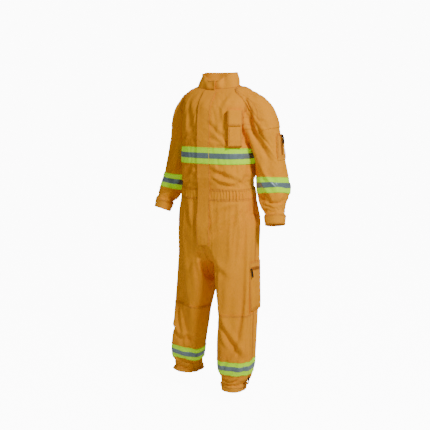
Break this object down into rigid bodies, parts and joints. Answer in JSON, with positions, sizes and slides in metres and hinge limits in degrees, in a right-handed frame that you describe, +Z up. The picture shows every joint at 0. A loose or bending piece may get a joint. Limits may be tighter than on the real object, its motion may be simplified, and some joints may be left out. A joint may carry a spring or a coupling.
{
  "type": "wildland fire coverall",
  "caption": "One-piece zip-front fire coverall in its worn shape, with stand collar, storm flap, reflective tape, cargo pockets, knee patches and ankle zips.",
  "frame": {"origin": "inside the garment on its middle plane, midway between front and back, at the height of the wearer's shoulders", "axes": "+Z up along the wearer, -Y towards the front of the garment, +X towards the wearer's left"},
  "size_m": [0.705, 0.2925, 1.5109],
  "materials": {
    "shell_cloth": "woven flame-resistant cloth, matte",
    "lime_tape": "fluorescent lime woven trim",
    "silver_tape": "retro-reflective silver stripe",
    "hook_loop": "hook and loop fastener, dull",
    "zip_tape": "woven zip tape",
    "brass": "brushed brass",
    "black_puller": "matte black"
  },
  "bodies": {
    "garment": {"bodice_back": "shell_cloth", "bodice_front_left": "shell_cloth", "bodice_front_right": "shell_cloth", "collar_stand": "shell_cloth", "waist_casing": "shell_cloth", "trouser_front_left": "shell_cloth", "trouser_front_right": "shell_cloth", "trouser_back_left": "shell_cloth", "trouser_back_right": "shell_cloth", "sleeve_front_left": "shell_cloth", "sleeve_back_left": "shell_cloth", "sleeve_front_right": "shell_cloth", "sleeve_back_right": "shell_cloth", "cuff_band_left": "shell_cloth", "cuff_band_right": "shell_cloth", "shoulder_patch_left": "shell_cloth", "shoulder_patch_right": "shell_cloth", "knee_patch_left": "shell_cloth", "knee_patch_right": "shell_cloth", "storm_flap_sewn_edge": "shell_cloth", "chest_pocket_body": "shell_cloth", "thigh_pocket_body": "shell_cloth", "sleeve_pocket_body": "shell_cloth", "chest_tape_lime_front_left": "lime_tape", "chest_tape_lime_front_right": "lime_tape", "chest_tape_lime_back": "lime_tape", "leg_tape_lime_left": "lime_tape", "leg_tape_lime_right": "lime_tape", "sleeve_tape_lime_left": "lime_tape", "sleeve_tape_lime_right": "lime_tape", "chest_tape_silver_front_left": "silver_tape", "chest_tape_silver_front_right": "silver_tape", "chest_tape_silver_back": "silver_tape", "leg_tape_silver_left": "silver_tape", "leg_tape_silver_right": "silver_tape", "sleeve_tape_silver_left": "silver_tape", "sleeve_tape_silver_right": "silver_tape", "flap_loop_strip": "hook_loop", "zip_tape_left": "zip_tape", "zip_tape_right": "zip_tape", "thigh_pocket_zip": "zip_tape", "sleeve_pocket_zip": "zip_tape", "ankle_zip_left": "zip_tape", "ankle_zip_right": "zip_tape", "zip_chain": "brass"},
    "storm_flap": {"storm_flap": "shell_cloth", "flap_hook_strip": "hook_loop", "chest_tape_lime_flap": "lime_tape", "chest_tape_silver_flap": "silver_tape"},
    "collar_tab": {"collar_tab": "shell_cloth"},
    "chest_pocket_flap": {"chest_pocket_flap": "shell_cloth"},
    "front_slider": {"front_slider": "brass"},
    "thigh_pocket_slider": {"thigh_pocket_slider": "black_puller"},
    "sleeve_pocket_slider": {"sleeve_pocket_slider": "black_puller"},
    "ankle_slider_left": {"ankle_slider_left": "black_puller"},
    "ankle_slider_right": {"ankle_slider_right": "black_puller"}
  },
  "joints": [
    {"name": "storm_flap_hinge", "type": "hinge", "parent": "garment", "child": "storm_flap", "pos_m": [0.0192, -0.148, -0.3], "axis": [0, 0, 1], "range_deg": [0, 95]},
    {"name": "collar_tab_hinge", "type": "hinge", "parent": "garment", "child": "collar_tab", "pos_m": [-0.0461, -0.0465, 0.061], "axis": [0, 0.058, -0.9983], "range_deg": [0, 80]},
    {"name": "chest_pocket_flap_hinge", "type": "hinge", "parent": "garment", "child": "chest_pocket_flap", "pos_m": [0.1437, -0.0927, -0.0595], "axis": [-0.7193, -0.6947, 0], "range_deg": [0, 90]},
    {"name": "front_zip_slide", "type": "slide", "parent": "garment", "child": "front_slider", "axis": [0, 0, -1], "range_m": [0, 0.24]},
    {"name": "thigh_pocket_zip_slide", "type": "slide", "parent": "garment", "child": "thigh_pocket_slider", "axis": [0, 1, 0], "range_m": [0, 0.062]},
    {"name": "sleeve_pocket_zip_slide", "type": "slide", "parent": "garment", "child": "sleeve_pocket_slider", "axis": [0, 0, -1], "range_m": [0, 0.06]},
    {"name": "ankle_zip_slide_left", "type": "slide", "parent": "garment", "child": "ankle_slider_left", "axis": [-0.227, -0.0324, -0.9734], "range_m": [0, 0.055]},
    {"name": "ankle_zip_slide_right", "type": "slide", "parent": "garment", "child": "ankle_slider_right", "axis": [-0.0728, 0.0728, -0.9947], "range_m": [0, 0.05]}
  ]
}
